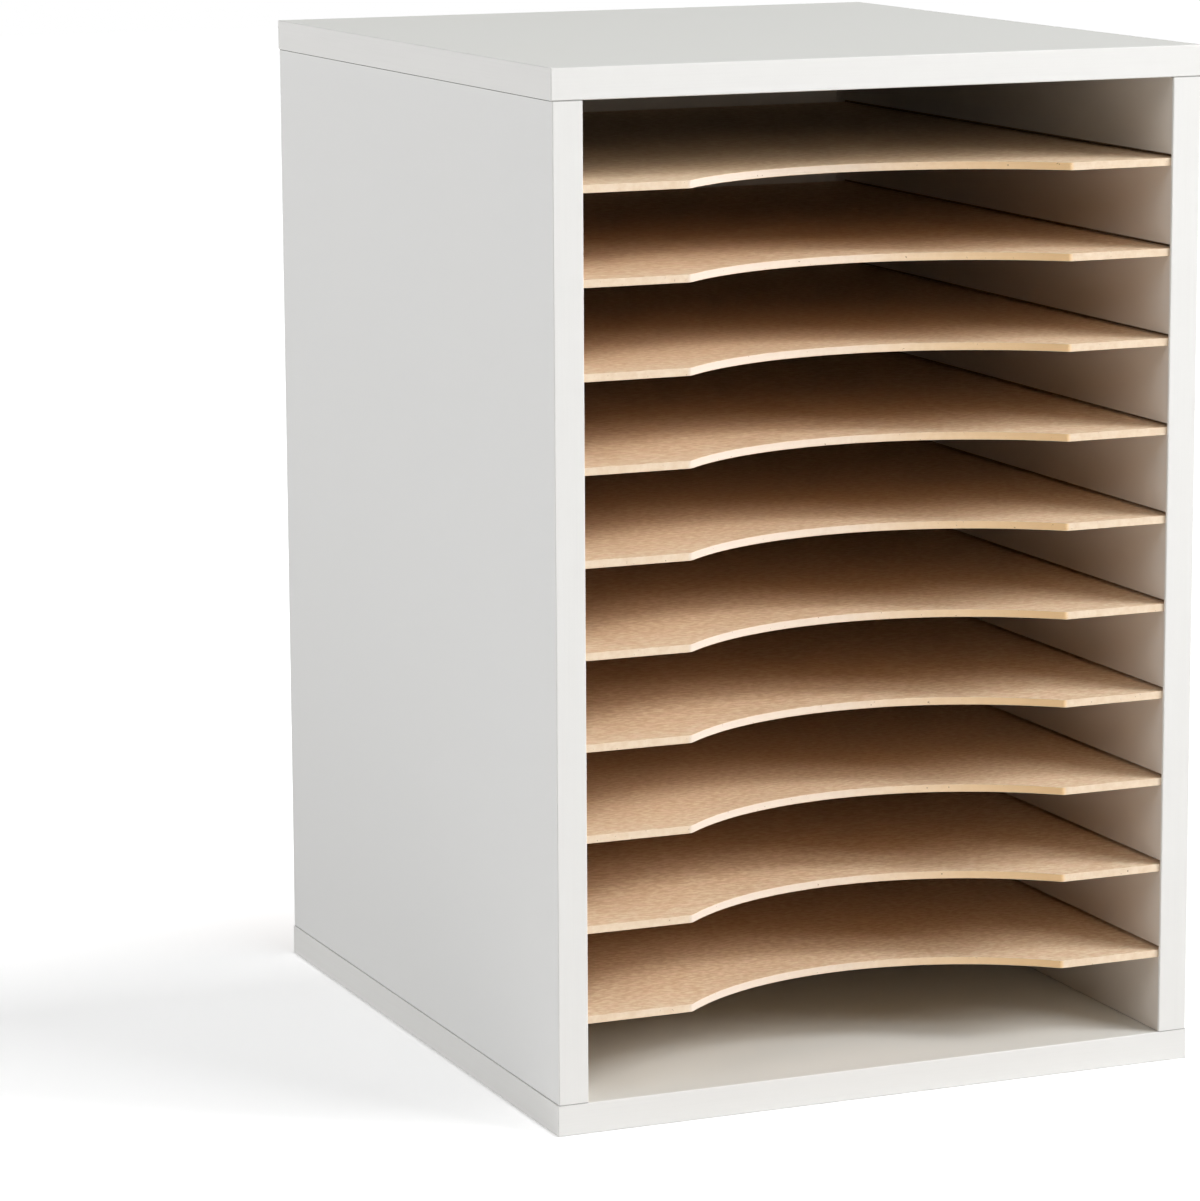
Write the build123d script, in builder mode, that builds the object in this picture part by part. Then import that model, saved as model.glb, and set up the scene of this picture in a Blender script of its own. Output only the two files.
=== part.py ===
from build123d import *
from math import radians, tan
import os

# Literature organizer: a board case, open at the front, with loose thin shelves in grooves.
# X runs from left to right, Y from front to rear and Z up. The origin is the centre of the
# underside. All sizes are in millimetres.

os.makedirs("parts", exist_ok=True)

# Overall size of the case
case_width = 273.05
case_depth = 304.8
case_height = 406.4

# Boards of the case and the bands on their edges
panel_thickness = 12.2
band_thickness = 1.0
band_radius = 0.5
panel_edge_break = 0.3
side_inset = 0.5

# Back panel, which lies in a rabbet behind each side, between top and bottom panel
back_thickness = 2.5
back_rear_recess = 0.5
back_side_clearance = 0.5
back_end_clearance = 0.4
rabbet_width = 8.0

# Shelves and the grooves that carry them
shelf_count = 10
shelf_thickness = 3.0
shelf_pitch = 35.2
shelf_set_drop = 0.3
groove_depth = 4.0
groove_headroom = 1.5
shelf_end_clearance = 0.5
shelf_front_clearance = 0.2
shelf_rear_clearance = 1.0

# Arc cut out of the front edge of each shelf
cutout_width = 160.0
cutout_depth = 31.3
cutout_corner_radius = 2.0

# Dowels between the side panels and the top and bottom panels
dowel_radius = 3.0
dowel_length = 24.0
dowel_chamfer = 1.0
dowel_depth_in_cap = 8.0
dowel_end_clearance = 0.5
dowel_glue_gap = 0.05
dowel_end_distance = 60.0
dowels_per_joint = 2

# Countersunk screws that hold the back panel
screw_length = 16.0
screw_shank_radius = 1.5
screw_head_radius = 2.8
screw_seat_angle = 90.0
screw_point_length = 3.0
screw_point_radius = 0.3
screw_pilot_clearance = 0.1
screw_hole_clearance = 0.2
screw_seat_clearance = 0.05
screw_recess_width = 0.6
screw_recess_length = 3.2
screw_recess_depth = 1.0
screws_per_side = 3

# Places of the case's planes
front_y = -case_depth / 2
core_front_y = front_y + band_thickness
rear_y = case_depth / 2
back_rear_y = rear_y - back_rear_recess
back_front_y = back_rear_y - back_thickness
side_outer_x = case_width / 2 - side_inset
side_inner_x = side_outer_x - panel_thickness
side_centre_x = (side_outer_x + side_inner_x) / 2
top_z = case_height - panel_thickness
side_height = top_z - panel_thickness

# Grooves, from the lowest one up: the set of shelves lies a little below mid-height
groove_height = shelf_thickness + groove_headroom
groove_bottom_x = side_inner_x + groove_depth
middle_shelf_z = case_height / 2 - shelf_set_drop - shelf_thickness / 2
groove_floors = [
    middle_shelf_z + (index - (shelf_count - 1) / 2) * shelf_pitch for index in range(shelf_count)
]

# Shelf outline
shelf_half_width = groove_bottom_x - shelf_end_clearance
shelf_front_y = core_front_y + shelf_front_clearance
shelf_rear_y = back_front_y - shelf_rear_clearance

# Depths: the panels reach the rear of the case, and the grooves end at the back panel
panel_depth = rear_y - core_front_y
panel_centre_y = (rear_y + core_front_y) / 2
groove_length = back_front_y - core_front_y

# Dowels: evenly spaced along the depth of the sides
dowel_spacing = (panel_depth - 2 * dowel_end_distance) / (dowels_per_joint - 1)
dowel_hole_radius = dowel_radius + dowel_glue_gap
dowel_hole_length = dowel_length + 2 * dowel_end_clearance
dowel_hole_in_side = dowel_hole_length - dowel_depth_in_cap

# Screws: each lies midway between two grooves, or between the last groove and its panel, and
# in the middle of the rabbet's width
screw_x = side_inner_x + rabbet_width / 2
slot_edges = [panel_thickness] + groove_floors + [top_z]
slot_centres = [
    (lower + upper) / 2 for lower, upper in zip(slot_edges[:-1], slot_edges[1:])
]
screw_heights = [
    slot_centres[round(index * (len(slot_centres) - 1) / (screws_per_side - 1))]
    for index in range(screws_per_side)
]
screw_seat_slope = tan(radians(screw_seat_angle / 2))
screw_head_depth = (screw_head_radius - screw_shank_radius) / screw_seat_slope
screw_seat_radius = screw_head_radius + screw_seat_clearance


def export_piece(piece, name):
    """Names a finished piece and writes it as a STEP file."""
    piece.part.label = name
    export_step(piece.part, f"parts/{name}.step")


# Case: top and bottom panels

def make_cap_panel(underside_z, joint_z, into_panel):
    """The core of the top or bottom panel, with blind holes for the dowels on its joint face."""
    core_width = case_width - 2 * band_thickness
    with BuildPart() as cap:
        with BuildSketch(Plane.XY.offset(underside_z)):
            with Locations((0, panel_centre_y)):
                Rectangle(core_width, panel_depth)
        extrude(amount=panel_thickness)
        with BuildSketch(Plane.XY.offset(joint_z)):
            with Locations((0, panel_centre_y)):
                with GridLocations(2 * side_centre_x, dowel_spacing, 2, dowels_per_joint):
                    Circle(dowel_hole_radius)
        extrude(amount=into_panel * dowel_depth_in_cap, mode=Mode.SUBTRACT)
    return cap


def make_cap_front_band(underside_z):
    """The front band of the top or bottom panel, over the full width, with its front edges rounded."""
    with BuildPart() as band:
        with BuildSketch(Plane.XY.offset(underside_z)):
            with Locations((0, front_y + band_thickness / 2)):
                Rectangle(case_width, band_thickness)
        extrude(amount=panel_thickness)
        front_face = band.faces().sort_by(Axis.Y)[0]
        fillet(front_face.edges(), radius=band_radius)
    return band


def make_cap_end_band(underside_z, side):
    """The band on the left (side -1) or right (side 1) end of the top or bottom panel."""
    with BuildPart() as band:
        with BuildSketch(Plane.XY.offset(underside_z)):
            with Locations((side * (case_width - band_thickness) / 2, panel_centre_y)):
                Rectangle(band_thickness, panel_depth)
        extrude(amount=panel_thickness)
        outer_face = band.faces().sort_by(Axis.X)[-1 if side > 0 else 0]
        fillet(outer_face.edges().filter_by(Axis.Y), radius=band_radius)
    return band


top_panel = make_cap_panel(top_z, top_z, 1)
bottom_panel = make_cap_panel(0, panel_thickness, -1)
export_piece(top_panel, "top_panel")
export_piece(bottom_panel, "bottom_panel")

for cap_name, cap_underside_z in (("top", top_z), ("bottom", 0)):
    export_piece(make_cap_front_band(cap_underside_z), f"{cap_name}_front_band")
    export_piece(make_cap_end_band(cap_underside_z, -1), f"{cap_name}_left_band")
    export_piece(make_cap_end_band(cap_underside_z, 1), f"{cap_name}_right_band")


# Case: side panels

def make_side_panel(side):
    """A side panel's core: grooves on its inner face, dowel holes in its ends, a rabbet behind.

    Its long edges are eased, which leaves a fine line along each joint. The rabbet takes the back
    panel, and has the pilot holes of its screws.
    """
    with BuildPart() as panel:
        with BuildSketch(Plane.XY.offset(panel_thickness)):
            with Locations((side * side_centre_x, panel_centre_y)):
                Rectangle(panel_thickness, panel_depth)
        extrude(amount=side_height)
        chamfer(panel.edges().filter_by(Axis.Y), length=panel_edge_break)

        with BuildSketch(Plane.XZ.offset(-rear_y)):
            with Locations((side * screw_x, case_height / 2)):
                Rectangle(rabbet_width, side_height)
        extrude(amount=rear_y - back_front_y, mode=Mode.SUBTRACT)

        with BuildSketch(Plane.XZ.offset(-back_front_y)):
            groove_centre_x = side * (side_inner_x + groove_depth / 2)
            with Locations(*[(groove_centre_x, floor + groove_height / 2) for floor in groove_floors]):
                Rectangle(groove_depth, groove_height)
        extrude(amount=groove_length, mode=Mode.SUBTRACT)

        for joint_z, into_panel in ((panel_thickness, 1), (top_z, -1)):
            with BuildSketch(Plane.XY.offset(joint_z)):
                with Locations((side * side_centre_x, panel_centre_y)):
                    with GridLocations(0, dowel_spacing, 1, dowels_per_joint):
                        Circle(dowel_hole_radius)
            extrude(amount=into_panel * dowel_hole_in_side, mode=Mode.SUBTRACT)

        with BuildSketch(Plane.XZ.offset(-back_front_y)):
            with Locations(*[(side * screw_x, height) for height in screw_heights]):
                Circle(screw_shank_radius + screw_pilot_clearance)
        extrude(amount=screw_length, mode=Mode.SUBTRACT)
    return panel


def make_side_front_band(side):
    """The front band of a side panel, which closes the front ends of the grooves."""
    with BuildPart() as band:
        with BuildSketch(Plane.XY.offset(panel_thickness)):
            with Locations((side * side_centre_x, front_y + band_thickness / 2)):
                Rectangle(panel_thickness, band_thickness)
        extrude(amount=side_height)
        front_face = band.faces().sort_by(Axis.Y)[0]
        fillet(front_face.edges().filter_by(Axis.Z), radius=band_radius)
    return band


for side_name, side_sign in (("left", -1), ("right", 1)):
    export_piece(make_side_panel(side_sign), f"{side_name}_side_panel")
    export_piece(make_side_front_band(side_sign), f"{side_name}_side_front_band")


# Case: dowels in the four corner joints

def make_dowels(lowest_z):
    """The dowels of one cap panel: a row in each side panel, with chamfered ends."""
    with BuildPart() as dowels:
        with BuildSketch(Plane.XY.offset(lowest_z)):
            with Locations((0, panel_centre_y)):
                with GridLocations(2 * side_centre_x, dowel_spacing, 2, dowels_per_joint):
                    Circle(dowel_radius)
        extrude(amount=dowel_length)
        chamfer(dowels.edges().filter_by(GeomType.CIRCLE), length=dowel_chamfer)
    return dowels


bottom_dowels_z = panel_thickness - dowel_depth_in_cap + dowel_end_clearance
top_dowels_z = top_z + dowel_depth_in_cap - dowel_end_clearance - dowel_length
export_piece(make_dowels(bottom_dowels_z), "bottom_dowels")
export_piece(make_dowels(top_dowels_z), "top_dowels")


# Back panel and its screws

back_half_width = side_inner_x + rabbet_width - back_side_clearance
back_bottom_z = panel_thickness + back_end_clearance
back_height = side_height - 2 * back_end_clearance
screw_points = [(x, z) for x in (-screw_x, screw_x) for z in screw_heights]
back_rear_plane = Plane(origin=(0, back_rear_y, 0), x_dir=(-1, 0, 0), z_dir=(0, 1, 0))

with BuildPart(back_rear_plane) as back_panel:
    with BuildSketch(back_rear_plane):
        with Locations((0, back_bottom_z + back_height / 2)):
            Rectangle(2 * back_half_width, back_height)
    extrude(amount=-back_thickness)
    with Locations(*screw_points):
        CounterSinkHole(
            radius=screw_shank_radius + screw_hole_clearance,
            counter_sink_radius=screw_seat_radius,
            counter_sink_angle=screw_seat_angle,
        )
export_piece(back_panel, "back_panel")

# One screw, turned about its own axis, with the head's flat on the plane of the back's rear face
with BuildPart(Plane.XZ) as screw:
    with BuildSketch(Plane.XZ):
        with BuildLine():
            Polyline(
                (0, 0),
                (screw_head_radius, 0),
                (screw_shank_radius, -screw_head_depth),
                (screw_shank_radius, -screw_length + screw_point_length),
                (screw_point_radius, -screw_length),
                (0, -screw_length),
                close=True,
            )
        make_face()
    revolve(axis=Axis.Z)
    with BuildSketch(Plane.XY):
        Rectangle(screw_recess_length, screw_recess_width)
        Rectangle(screw_recess_width, screw_recess_length)
    extrude(amount=-screw_recess_depth, mode=Mode.SUBTRACT)

with BuildPart(back_rear_plane) as back_panel_screws:
    with Locations(*screw_points):
        add(screw.part)
export_piece(back_panel_screws, "back_panel_screws")


# Shelves

def make_shelf(underside_z):
    """A thin shelf with straight lands at the ends of its front edge and an arc between them."""
    cutout_half = cutout_width / 2
    with BuildPart() as shelf:
        with BuildSketch(Plane.XY.offset(underside_z)) as outline:
            with BuildLine():
                Polyline(
                    (cutout_half, shelf_front_y),
                    (shelf_half_width, shelf_front_y),
                    (shelf_half_width, shelf_rear_y),
                    (-shelf_half_width, shelf_rear_y),
                    (-shelf_half_width, shelf_front_y),
                    (-cutout_half, shelf_front_y),
                )
                ThreePointArc(
                    (-cutout_half, shelf_front_y),
                    (0, shelf_front_y + cutout_depth),
                    (cutout_half, shelf_front_y),
                )
            make_face()
            front_corners = outline.vertices().group_by(Axis.Y)[0].sort_by(Axis.X)
            fillet(front_corners[1:-1], radius=cutout_corner_radius)
        extrude(amount=shelf_thickness)
    return shelf


# The first shelf is the top one
for shelf_number, groove_floor in enumerate(reversed(groove_floors), start=1):
    export_piece(make_shelf(groove_floor), f"shelf_{shelf_number:02d}")
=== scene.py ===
"""Literature organizer: the finishes of its pieces, and the floor, lamps and camera around it.

Lengths are in metres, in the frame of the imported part: X runs to the right, Y to the rear and Z up,
and the origin is the centre of the underside. Every piece keeps the shape that the part gives it.
"""
import math

import bpy
from mathutils import Euler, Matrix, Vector


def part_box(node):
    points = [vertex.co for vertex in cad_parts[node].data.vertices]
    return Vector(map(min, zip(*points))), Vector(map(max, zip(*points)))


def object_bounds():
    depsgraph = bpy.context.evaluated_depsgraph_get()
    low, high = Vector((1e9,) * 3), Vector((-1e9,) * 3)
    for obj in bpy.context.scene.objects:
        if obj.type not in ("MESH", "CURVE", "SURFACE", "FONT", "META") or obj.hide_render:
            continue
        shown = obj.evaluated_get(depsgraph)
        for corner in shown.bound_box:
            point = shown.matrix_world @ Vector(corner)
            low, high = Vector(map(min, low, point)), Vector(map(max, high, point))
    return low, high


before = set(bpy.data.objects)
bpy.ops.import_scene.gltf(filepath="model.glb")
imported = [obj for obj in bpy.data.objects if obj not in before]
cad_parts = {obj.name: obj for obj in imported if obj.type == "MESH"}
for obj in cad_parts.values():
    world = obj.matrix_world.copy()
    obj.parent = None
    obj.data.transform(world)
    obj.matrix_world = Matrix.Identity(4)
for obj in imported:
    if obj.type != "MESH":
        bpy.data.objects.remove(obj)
bpy.ops.object.select_all(action="DESELECT")
case_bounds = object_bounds()

MM = 0.001
AXES = "XYZ"

# Where the photograph was taken from: the camera's turn about the case, how far it stands from the
# point that it aims at, and how far that point lies to the right of the front's middle and above it
PHOTO_WIDTH_PX = 1200
SENSOR_WIDTH_MM = 36.0
FOCAL_LENGTH_PX = 4854.9
CAMERA_AZIMUTH = math.radians(-22.744)
CAMERA_ELEVATION = math.radians(10.478)
CAMERA_ROLL = math.radians(-0.312)
CAMERA_DISTANCE = 1.8658
AIM_RIGHT = -0.1089
AIM_UP = -0.0048

# Square lamps around the case: name, azimuth and elevation in degrees, side in metres, power in
# watts. Azimuth 0 is in front and 90 to the right.
LAMP_DISTANCE = 4.0
LAMP_AIM_HEIGHT = 0.2
LAMPS = (
    ("key_right", 55, 31, 1.1, 81),
    ("key_front", 35, 25, 1.1, 50),
    ("key_high", 62, 40, 1.9, 30),
    ("fill_low", 0, 2.5, 0.4, 5),
    ("fill_left", -65, 30, 1.9, 33),
    ("fill_rear_left", -120, 20, 1.9, 66),
    ("fill_rear_right", 150, 40, 1.9, 12),
)

# What the camera sees of the floor beside its light: how much; how much painted light is added from
# the case's foot to a little way off, lifting its shadow; how much along Y, behind and in front,
# where painted light fades it to white over the case's shadow; and where the glow is taken away at
# the foot, a painted contact shadow
FLOOR_SIZE = 12.0
FLOOR_GLOW = 0.37
FLOOR_PAINTED_LIGHT_AWAY = 0.15
FLOOR_AWAY = 0.3
FLOOR_PAINTED_LIGHT_BEHIND = 0.7
BEHIND_FROM_TO = (0.10, 0.39)
FLOOR_PAINTED_LIGHT_IN_FRONT = 0.8
IN_FRONT_TO_FROM = (-0.24, -0.06)
FLOOR_PAINTED_CONTACT_SHADOW_FROM_TO = (-1.0 * MM, 1.5 * MM)

# Layers of the boards. The foil is drawn over the boards' eased edges.
FOIL_THICKNESS = 0.35 * MM
PRESSED_SKIN = 0.12 * MM
LACQUER_FROM_TO = (0.1 * MM, 0.2 * MM)
# Width of the painted shade lines at the joints
JOINT_WIDTH = 0.3 * MM

# Places on a shelf, across it for the arc and the painted light and shade of its cut, and back from
# the front edge for the painted light at the open front; and how far the fibre pattern moves on from
# one shelf to the next
ARC_HALF_WIDTH = 80 * MM
ARC_TONE_MARGIN = 1.5 * MM
ARC_PAINTED_LIGHT_FROM_TO = (-60 * MM, 50 * MM)
ARC_PAINTED_SHADE_FROM_TO = (0.0, 75 * MM)
PAINTED_FRONT_LIGHT_FROM_TO = (5 * MM, 56 * MM)
PATTERN_SHIFT = 13

# Depth of the relief in each surface, and the pitch of the weave on the back panel's rear face
FOIL_RELIEF = 0.02 * MM
BAND_RELIEF = 0.02 * MM
SHELF_RELIEF = 0.06 * MM
BACK_RELIEF = 0.08 * MM
DOWEL_RELIEF = 0.03 * MM
WEAVE_PITCH = 1.5 * MM

# Sockets of the Mix node in its colour mode
MIX_SHARE = 0
MIX_FIRST = 6
MIX_SECOND = 7
MIX_COLOUR = 2


class Field:
    """A number that changes over a surface: a shader socket that adds up like a number."""

    def __init__(self, finish, socket):
        self.finish = finish
        self.socket = socket

    def math(self, operation, *values):
        return self.finish.node("ShaderNodeMath", {"operation": operation}, dict(enumerate(values)))

    def __add__(self, other):
        return self.math("ADD", self, other)

    def __sub__(self, other):
        return self.math("SUBTRACT", self, other)

    def __rsub__(self, other):
        return self.math("SUBTRACT", other, self)

    def __mul__(self, other):
        return self.math("MULTIPLY", self, other)

    __radd__ = __add__
    __rmul__ = __mul__

    def size(self):
        return self.math("ABSOLUTE", self)

    def least(self, other):
        return self.math("MINIMUM", self, other)

    def most(self, other):
        return self.math("MAXIMUM", self, other)

    def rise(self, low, high):
        """0 up to low, 1 from high, and a straight ramp between them."""
        settings = {"clamp": True}
        return self.finish.node(
            "ShaderNodeMapRange", settings, {"Value": self, "From Min": low, "From Max": high}
        )


class Finish:
    """The nodes of one surface finish around a Principled shader, or of the surround."""

    def __init__(self, name, world=None):
        self.material = None if world else bpy.data.materials.new(name)
        owner = world or self.material
        owner.use_nodes = True
        self.tree = owner.node_tree
        self.tree.nodes.clear()
        if world:
            self.output = self.tree.nodes.new("ShaderNodeOutputWorld")
            return
        self.shader = self.tree.nodes.new("ShaderNodeBsdfPrincipled")
        output = self.tree.nodes.new("ShaderNodeOutputMaterial")
        self.tree.links.new(self.shader.outputs["BSDF"], output.inputs["Surface"])
        self.place = self.node("ShaderNodeTexCoord", out="Object")

    def node(self, kind, settings=None, inputs=None, out=0):
        """Adds a node, sets it up, gives its sockets values or links, and returns one output."""
        made = self.tree.nodes.new(kind)
        for key, value in (settings or {}).items():
            setattr(made, key, value)
        for key, value in (inputs or {}).items():
            self.feed(made.inputs[key], value)
        return Field(self, made.outputs[out])

    def feed(self, socket, value):
        """Links a field to a socket, or sets the socket to a number or a colour."""
        if isinstance(value, Field):
            self.tree.links.new(value.socket, socket)
        elif socket.type == "RGBA" and len(value) == 3:
            socket.default_value = (*value, 1.0)
        else:
            socket.default_value = value

    def set(self, inputs):
        """Feeds the shader's named sockets."""
        for key, value in inputs.items():
            self.feed(self.shader.inputs[key], value)

    def axis(self, letter):
        """The place along X, Y or Z, in metres."""
        return self.node("ShaderNodeSeparateXYZ", inputs={0: self.place}, out=AXES.index(letter))

    def noise(self, per_metre, detail=2.0, stretch=(1.0, 1.0, 1.0), offset=(0.0, 0.0, 0.0)):
        """Cloudy noise from 0 to 1, with so many blotches to the metre."""
        spot = self.node(
            "ShaderNodeMapping", {"vector_type": "POINT"},
            {"Vector": self.place, "Scale": stretch, "Location": offset},
        )
        return self.node(
            "ShaderNodeTexNoise", inputs={"Vector": spot, "Scale": per_metre, "Detail": detail}
        )

    def wave(self, letter, pitch):
        """An even wave from -1 to 1 along X, Y or Z."""
        turns = self.axis(letter) * (2 * math.pi / pitch)
        return turns.math("SINE", turns)

    def seen_directly(self):
        """1 for what the camera, a reflection or glass shows, and 0 for what lights the case."""
        ways = ("Is Camera Ray", "Is Glossy Ray", "Is Transmission Ray")
        camera, gloss, glass = [self.node("ShaderNodeLightPath", out=way) for way in ways]
        return camera.most(gloss).most(glass)

    def blend(self, share, first, second):
        """A colour that goes from the first to the second as share goes from 0 to 1."""
        mixed = self.node("ShaderNodeMix", {"data_type": "RGBA"})
        mix = mixed.socket.node
        self.feed(mix.inputs[MIX_SHARE], share)
        self.feed(mix.inputs[MIX_FIRST], first)
        self.feed(mix.inputs[MIX_SECOND], second)
        return Field(self, mix.outputs[MIX_COLOUR])

    def relief(self, height, depth):
        """Bumps of that depth in metres, from a field that goes from 0 to 1."""
        bump = self.node("ShaderNodeBump", inputs={"Height": height, "Distance": depth}, out="Normal")
        self.feed(self.shader.inputs["Normal"], bump)


def near_planes(finish, letter, low, high, reach):
    """1 within reach of the planes low and high across an axis, and 0 between them."""
    place = finish.axis(letter)
    from_low = (place - low).size()
    from_high = (place - high).size()
    distance = from_low.least(from_high)
    return 1 - distance.rise(reach * 0.8, reach)


# The edge bands, by the axis that they run along
BANDS_ALONG = {
    "X": ("top_front_band", "bottom_front_band"),
    "Y": ("top_left_band", "top_right_band", "bottom_left_band", "bottom_right_band"),
    "Z": ("left_side_front_band", "right_side_front_band"),
}

# Colours, as the linear light that each surface returns. The top and bottom panels take a darker,
# warmer foil, a painted tint of the light from above; the inner faces of the sides a darker cream,
# painted warm shade; and the bands on the panels' left and right ends a darker white, painted shade.
WHITE_FOIL = (0.80, 0.80, 0.79)
WHITE_FOIL_WARM = (0.815, 0.81, 0.795)
LEVEL_FOIL_TOPLIGHT_TINT = (0.78, 0.785, 0.755)
LEVEL_FOIL_WARM_TOPLIGHT_TINT = (0.795, 0.795, 0.76)
INNER_FOIL_PAINTED_WARM_SHADE = (0.73, 0.675, 0.615)
WHITE_BAND = (0.82, 0.812, 0.79)
WHITE_BAND_DULL = (0.805, 0.797, 0.775)
END_BAND_PAINTED_SHADE = (0.765, 0.757, 0.737)
END_BAND_DULL_PAINTED_SHADE = (0.75, 0.742, 0.722)
WHITE_LACQUER_PAINTED_WARM_SHADE = (0.88, 0.77, 0.64)
JOINT_PAINTED_SHADE = (0.22, 0.215, 0.21)
BAND_JOINT_PAINTED_SHADE = (0.38, 0.37, 0.36)
CORE_PALE = (0.50, 0.35, 0.215)
CORE_DARK = (0.36, 0.235, 0.135)
PRESSED_TAN = (0.915, 0.72, 0.497)
PRESSED_TAN_PALE = (0.935, 0.75, 0.532)
PRESSED_TAN_PAINTED_LIGHT = (0.935, 0.785, 0.59)
PRESSED_ROSE = (0.91, 0.645, 0.50)
PRESSED_TAN_DARK = (0.73, 0.505, 0.31)
SAWN_CREAM = (0.89, 0.725, 0.545)
SAWN_CREAM_DARK = (0.82, 0.635, 0.45)
SAWN_PALE_PAINTED_LIGHT = (0.83, 0.70, 0.59)
SAWN_GOLD_PAINTED_SHADE = (0.99, 0.675, 0.36)
SAWN_PIT = (0.34, 0.20, 0.10)
HARDBOARD_BROWN = (0.27, 0.145, 0.07)
HARDBOARD_PALE = (0.36, 0.21, 0.115)
HARDBOARD_DARK = (0.15, 0.075, 0.035)
BEECH = (0.62, 0.44, 0.27)
BEECH_DARK = (0.47, 0.31, 0.17)
ZINC = (0.30, 0.31, 0.33)
ZINC_DARK = (0.20, 0.205, 0.215)
FLOOR_WHITE = (0.90, 0.90, 0.90)
BLACK = (0.0, 0.0, 0.0)
WHITE = (1.0, 1.0, 1.0)


def core_colour(finish):
    """Raw fibreboard: brown, with fine pale fibres."""
    fibres = finish.noise(1400, detail=4)
    return finish.blend(fibres.rise(0.35, 0.65), CORE_DARK, CORE_PALE)


def board_finish(name, letter, clear, warm, inner_painted_shade=None):
    """White foil on the two faces across one axis, and raw fibreboard on whatever was cut.

    The foil drifts in clouds between its clear and its warm tone. On a side panel's inner face it
    takes a darker cream, painted warm shade, and a grey line of painted shade where it meets the top
    and bottom panel.
    """
    finish = Finish(f"board_of_{name}")
    low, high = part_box(name)
    index = AXES.index(letter)
    foil = near_planes(finish, letter, low[index], high[index], FOIL_THICKNESS)
    clouds = finish.noise(9, detail=3)
    white = finish.blend(clouds, clear, warm)
    # Painted warm shade: the inner face of a side panel is darker and creamier than its outer face.
    if inner_painted_shade:
        near, far = sorted((abs(low[index]), abs(high[index])))
        white = finish.blend(finish.axis(letter).size().rise(near, far), inner_painted_shade, white)
        # Painted shade: a grey line where the side meets the top and bottom panel, for the shadow in
        # the joint.
        joint_shade = near_planes(finish, "Z", low.z, high.z, JOINT_WIDTH)
        white = finish.blend(joint_shade, white, JOINT_PAINTED_SHADE)
    grain = finish.noise(2200, detail=2)
    finish.set({
        "Base Color": finish.blend(foil, core_colour(finish), white),
        "Roughness": 0.78 - 0.26 * foil + 0.05 * clouds,
        "Specular IOR Level": 0.06,
    })
    finish.relief(grain, FOIL_RELIEF)
    return finish.material


def band_finish(letter, clear, dull):
    """Smooth white plastic, a touch glossier than the foil, with fine streaks along one axis.

    The upright bands have a grey line of painted shade at both ends, where they meet the panels.
    """
    finish = Finish(f"white_edge_band_along_{letter}")
    stretch = [1.0, 1.0, 1.0]
    stretch[AXES.index(letter)] = 0.015
    streaks = finish.noise(1600, detail=3, stretch=stretch)
    ripple = finish.noise(150, detail=2)
    white = finish.blend(streaks.rise(0.45, 0.8), clear, dull)
    if letter == "Z":
        low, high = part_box("left_side_front_band")
        joint_shade = near_planes(finish, "Z", low.z, high.z, JOINT_WIDTH)
        white = finish.blend(joint_shade, white, BAND_JOINT_PAINTED_SHADE)
    finish.set({
        "Base Color": white,
        "Roughness": 0.36 + 0.08 * ripple + 0.08 * streaks,
        "Specular IOR Level": 0.35,
    })
    finish.relief(0.6 * ripple + 0.4 * streaks, BAND_RELIEF)
    return finish.material


def shelf_finish(name):
    """Pressed tan fibreboard on the two faces, and pale sawn edges between them."""
    finish = Finish(f"fibreboard_of_{name}")
    low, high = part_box(name)
    skin = near_planes(finish, "Z", low.z, high.z, PRESSED_SKIN)
    offset = (0.0, 0.0, low.z * PATTERN_SHIFT)
    clouds = finish.noise(14, detail=3, offset=offset)
    mottle = finish.noise(220, detail=4, stretch=(0.6, 1.0, 1.0), offset=offset)
    fibres = finish.noise(640, detail=6, stretch=(0.5, 1.0, 1.0), offset=offset)
    specks = finish.noise(520, detail=3, offset=offset).rise(0.60, 0.70)
    tan = finish.blend(clouds.rise(0.3, 0.7), PRESSED_TAN, PRESSED_TAN_PALE)
    # Painted light: the board is paler towards the open front, where the lamps reach in, and its
    # mottle and fibres are fainter there
    painted_front_light = 1 - (finish.axis("Y") - low.y).rise(*PAINTED_FRONT_LIGHT_FROM_TO)
    tan = finish.blend(painted_front_light * 0.85, tan, PRESSED_TAN_PAINTED_LIGHT)
    texture_outside_painted_light = 1 - 0.3 * painted_front_light
    tan = finish.blend(mottle.rise(0.44, 0.62) * 0.6 * texture_outside_painted_light, tan, PRESSED_ROSE)
    tan = finish.blend(fibres.rise(0.36, 0.62) * texture_outside_painted_light, tan, PRESSED_TAN_DARK)
    tan = finish.blend(specks * 0.5, tan, PRESSED_TAN_DARK)
    saw_marks = finish.noise(400, detail=3, offset=offset)
    cream = finish.blend(saw_marks.rise(0.35, 0.7), SAWN_CREAM, SAWN_CREAM_DARK)
    across = finish.axis("X")
    on_arc = 1 - across.size().rise(ARC_HALF_WIDTH, ARC_HALF_WIDTH + ARC_TONE_MARGIN)
    # Painted light and shade on the arc's cut: paler on its left part, which faces the lamps, and
    # golden on its right part, which faces away from them.
    cream = finish.blend(on_arc * (1 - across.rise(*ARC_PAINTED_LIGHT_FROM_TO)), cream, SAWN_PALE_PAINTED_LIGHT)
    cream = finish.blend(on_arc * across.rise(*ARC_PAINTED_SHADE_FROM_TO), cream, SAWN_GOLD_PAINTED_SHADE)
    pits = finish.noise(700, detail=2, offset=offset).rise(0.71, 0.76)
    cream = finish.blend(pits * 0.8, cream, SAWN_PIT)
    finish.set({
        "Base Color": finish.blend(skin, cream, tan),
        "Roughness": 0.86 - 0.16 * skin,
        "Specular IOR Level": 0.3,
    })
    finish.relief(fibres, SHELF_RELIEF)
    return finish.material


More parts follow.
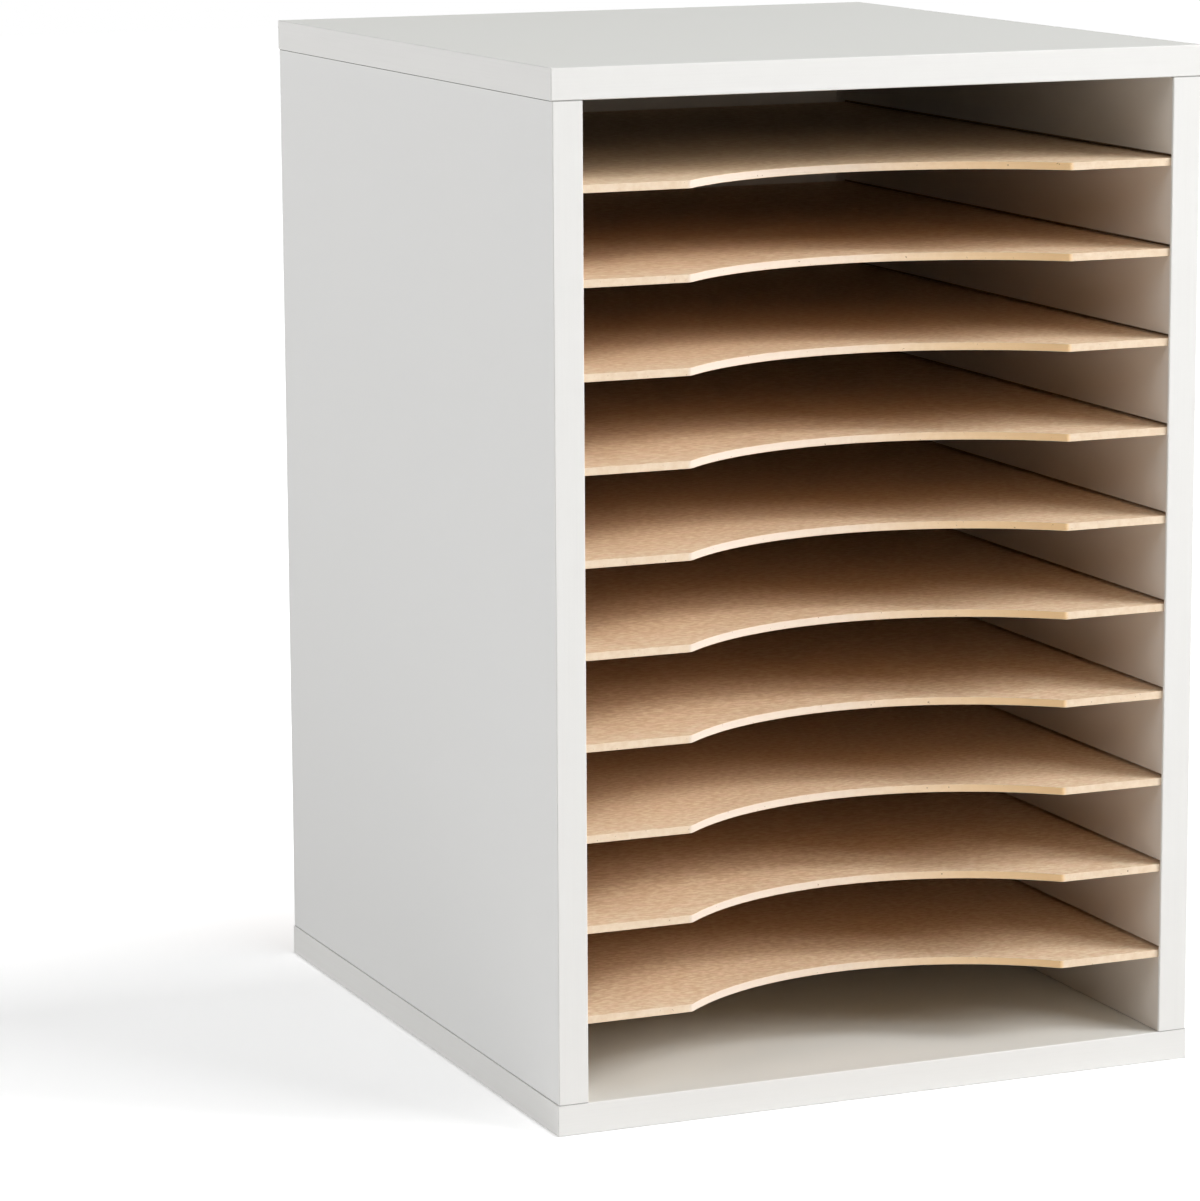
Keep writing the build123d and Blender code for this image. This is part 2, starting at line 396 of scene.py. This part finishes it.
def back_finish():
    """Thin hardboard: white lacquer towards the shelves, tinted cream as painted warm shade, raw
    brown with a weave behind.
    """
    finish = Finish("hardboard_of_back_panel")
    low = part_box("back_panel")[0]
    inner = 1 - (finish.axis("Y") - low.y).rise(*LACQUER_FROM_TO)
    clouds = finish.noise(30, detail=4)
    fibres = finish.noise(700, detail=5)
    weave = finish.wave("X", WEAVE_PITCH) * finish.wave("Z", WEAVE_PITCH)
    brown = finish.blend(clouds.rise(0.3, 0.7), HARDBOARD_BROWN, HARDBOARD_PALE)
    brown = finish.blend(fibres.rise(0.4, 0.65) * 0.7, brown, HARDBOARD_DARK)
    finish.set({
        "Base Color": finish.blend(inner, brown, WHITE_LACQUER_PAINTED_WARM_SHADE),
        "Roughness": 0.82 - 0.35 * inner,
    })
    finish.relief(fibres + 0.5 * weave * (1 - inner), BACK_RELIEF)
    return finish.material


def dowel_finish():
    """Turned beech with a fine upright grain."""
    finish = Finish("turned_beech")
    grain = finish.noise(900, detail=4, stretch=(1.0, 1.0, 0.06))
    finish.set({
        "Base Color": finish.blend(grain.rise(0.3, 0.7), BEECH, BEECH_DARK),
        "Roughness": 0.6,
    })
    finish.relief(grain, DOWEL_RELIEF)
    return finish.material


def screw_finish():
    """Bright zinc on steel, faintly scuffed."""
    finish = Finish("zinc_plated_steel")
    scuffs = finish.noise(1500, detail=3)
    finish.set({
        "Base Color": finish.blend(scuffs.rise(0.35, 0.7), ZINC, ZINC_DARK),
        "Metallic": 1.0,
        "Roughness": 0.38 + 0.2 * scuffs,
    })
    return finish.material


def paint(name, material):
    """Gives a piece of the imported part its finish."""
    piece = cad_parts[name]
    piece.data.materials.clear()
    piece.data.materials.append(material)


# Finishes of the pieces

# The top and bottom panels take a darker, warmer white than the sides, a painted tint of the light
# from above.
for panel in ("top_panel", "bottom_panel"):
    paint(panel, board_finish(panel, "Z", LEVEL_FOIL_TOPLIGHT_TINT, LEVEL_FOIL_WARM_TOPLIGHT_TINT))
for panel in ("left_side_panel", "right_side_panel"):
    paint(panel, board_finish(panel, "X", WHITE_FOIL, WHITE_FOIL_WARM, INNER_FOIL_PAINTED_WARM_SHADE))

for letter, bands in BANDS_ALONG.items():
    # Painted shade: the bands on the panels' left and right ends take a darker white than the front
    # bands.
    tones = (END_BAND_PAINTED_SHADE, END_BAND_DULL_PAINTED_SHADE) if letter == "Y" else (WHITE_BAND, WHITE_BAND_DULL)
    plastic = band_finish(letter, *tones)
    for name in bands:
        paint(name, plastic)

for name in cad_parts:
    if name.startswith("shelf_"):
        paint(name, shelf_finish(name))

paint("back_panel", back_finish())
beech = dowel_finish()
paint("top_dowels", beech)
paint("bottom_dowels", beech)
paint("back_panel_screws", screw_finish())


# Floor, lamps and camera

def pale_floor():
    """A white floor that keeps the shadow of the case, with painted light that lifts the shadow away
    from the foot and whitens the floor behind and in front, and a painted contact shadow along the
    foot.
    """
    bpy.ops.mesh.primitive_plane_add(size=FLOOR_SIZE, location=(0.0, 0.0, 0.0))
    floor = bpy.context.active_object
    floor.name = "floor"
    finish = Finish("pale_floor")
    across = finish.axis("X")
    along = finish.axis("Y")
    corner = Vector(case_bounds[1])
    gap = (across.size() - corner.x).most(along.size() - corner.y)
    behind = along.rise(*BEHIND_FROM_TO)
    in_front = 1 - along.rise(*IN_FRONT_TO_FROM)
    # Painted light: the glow grows away from the foot and towards the back and front, over the case's
    # shadow; at the foot it is taken away, a painted contact shadow.
    glow = FLOOR_GLOW + FLOOR_PAINTED_LIGHT_AWAY * gap.rise(0.0, FLOOR_AWAY)
    glow = glow + FLOOR_PAINTED_LIGHT_BEHIND * behind + FLOOR_PAINTED_LIGHT_IN_FRONT * (in_front * in_front)
    painted_contact_shadow = gap.rise(*FLOOR_PAINTED_CONTACT_SHADOW_FROM_TO)
    share = finish.seen_directly() * painted_contact_shadow * glow.least(1.0)
    finish.set({
        "Base Color": FLOOR_WHITE,
        "Roughness": 0.9,
        "Specular IOR Level": 0.0,
        "Emission Color": finish.blend(share, BLACK, WHITE),
        "Emission Strength": 1.0,
    })
    floor.data.materials.append(finish.material)


def softbox(name, azimuth, elevation, size, power):
    """A square lamp that faces the middle of the case."""
    turn = math.radians(azimuth)
    climb = math.radians(elevation)
    middle = Vector((0.0, 0.0, LAMP_AIM_HEIGHT))
    level = math.cos(climb)
    way = Vector((math.sin(turn) * level, -math.cos(turn) * level, math.sin(climb)))
    lamp = bpy.data.lights.new(name, "AREA")
    lamp.shape = "SQUARE"
    lamp.size = size
    lamp.energy = power
    holder = bpy.data.objects.new(name, lamp)
    holder.location = middle + way * LAMP_DISTANCE
    holder.rotation_euler = way.to_track_quat("Z", "Y").to_euler()
    bpy.context.scene.collection.objects.link(holder)


def white_surround():
    """A plain white surround for the camera, for gloss and for glass. The lamps alone give light."""
    world = bpy.data.worlds.new("white_surround")
    bpy.context.scene.world = world
    surround = Finish("white_surround", world)
    unlit = surround.node("ShaderNodeBackground", inputs={"Color": BLACK})
    white = surround.node("ShaderNodeBackground", inputs={"Color": WHITE})
    seen = surround.seen_directly()
    choice = surround.node("ShaderNodeMixShader", inputs={0: seen, 1: unlit, 2: white})
    surround.feed(surround.output.inputs["Surface"], choice)


def photo_camera():
    """A camera where the photograph's was."""
    turn = Euler((math.pi / 2 - CAMERA_ELEVATION, 0.0, CAMERA_AZIMUTH)).to_matrix()
    right = turn.col[0]
    up = turn.col[1]
    back = turn.col[2]
    low, high = (Vector(corner) for corner in case_bounds)
    front_middle = Vector(((low.x + high.x) / 2, low.y, (low.z + high.z) / 2))
    aim = front_middle + right * AIM_RIGHT + up * AIM_UP
    lens = bpy.data.cameras.new("photo_camera")
    lens.sensor_fit = "HORIZONTAL"
    lens.sensor_width = SENSOR_WIDTH_MM
    lens.lens = FOCAL_LENGTH_PX / PHOTO_WIDTH_PX * SENSOR_WIDTH_MM
    camera = bpy.data.objects.new("photo_camera", lens)
    camera.location = aim + back * CAMERA_DISTANCE
    roll = Euler((0.0, 0.0, CAMERA_ROLL)).to_matrix()
    camera.rotation_euler = (turn @ roll).to_euler()
    bpy.context.scene.collection.objects.link(camera)
    bpy.context.scene.camera = camera


pale_floor()
white_surround()
for lamp in LAMPS:
    softbox(*lamp)
photo_camera()

bpy.context.scene.view_settings.view_transform = "Standard"
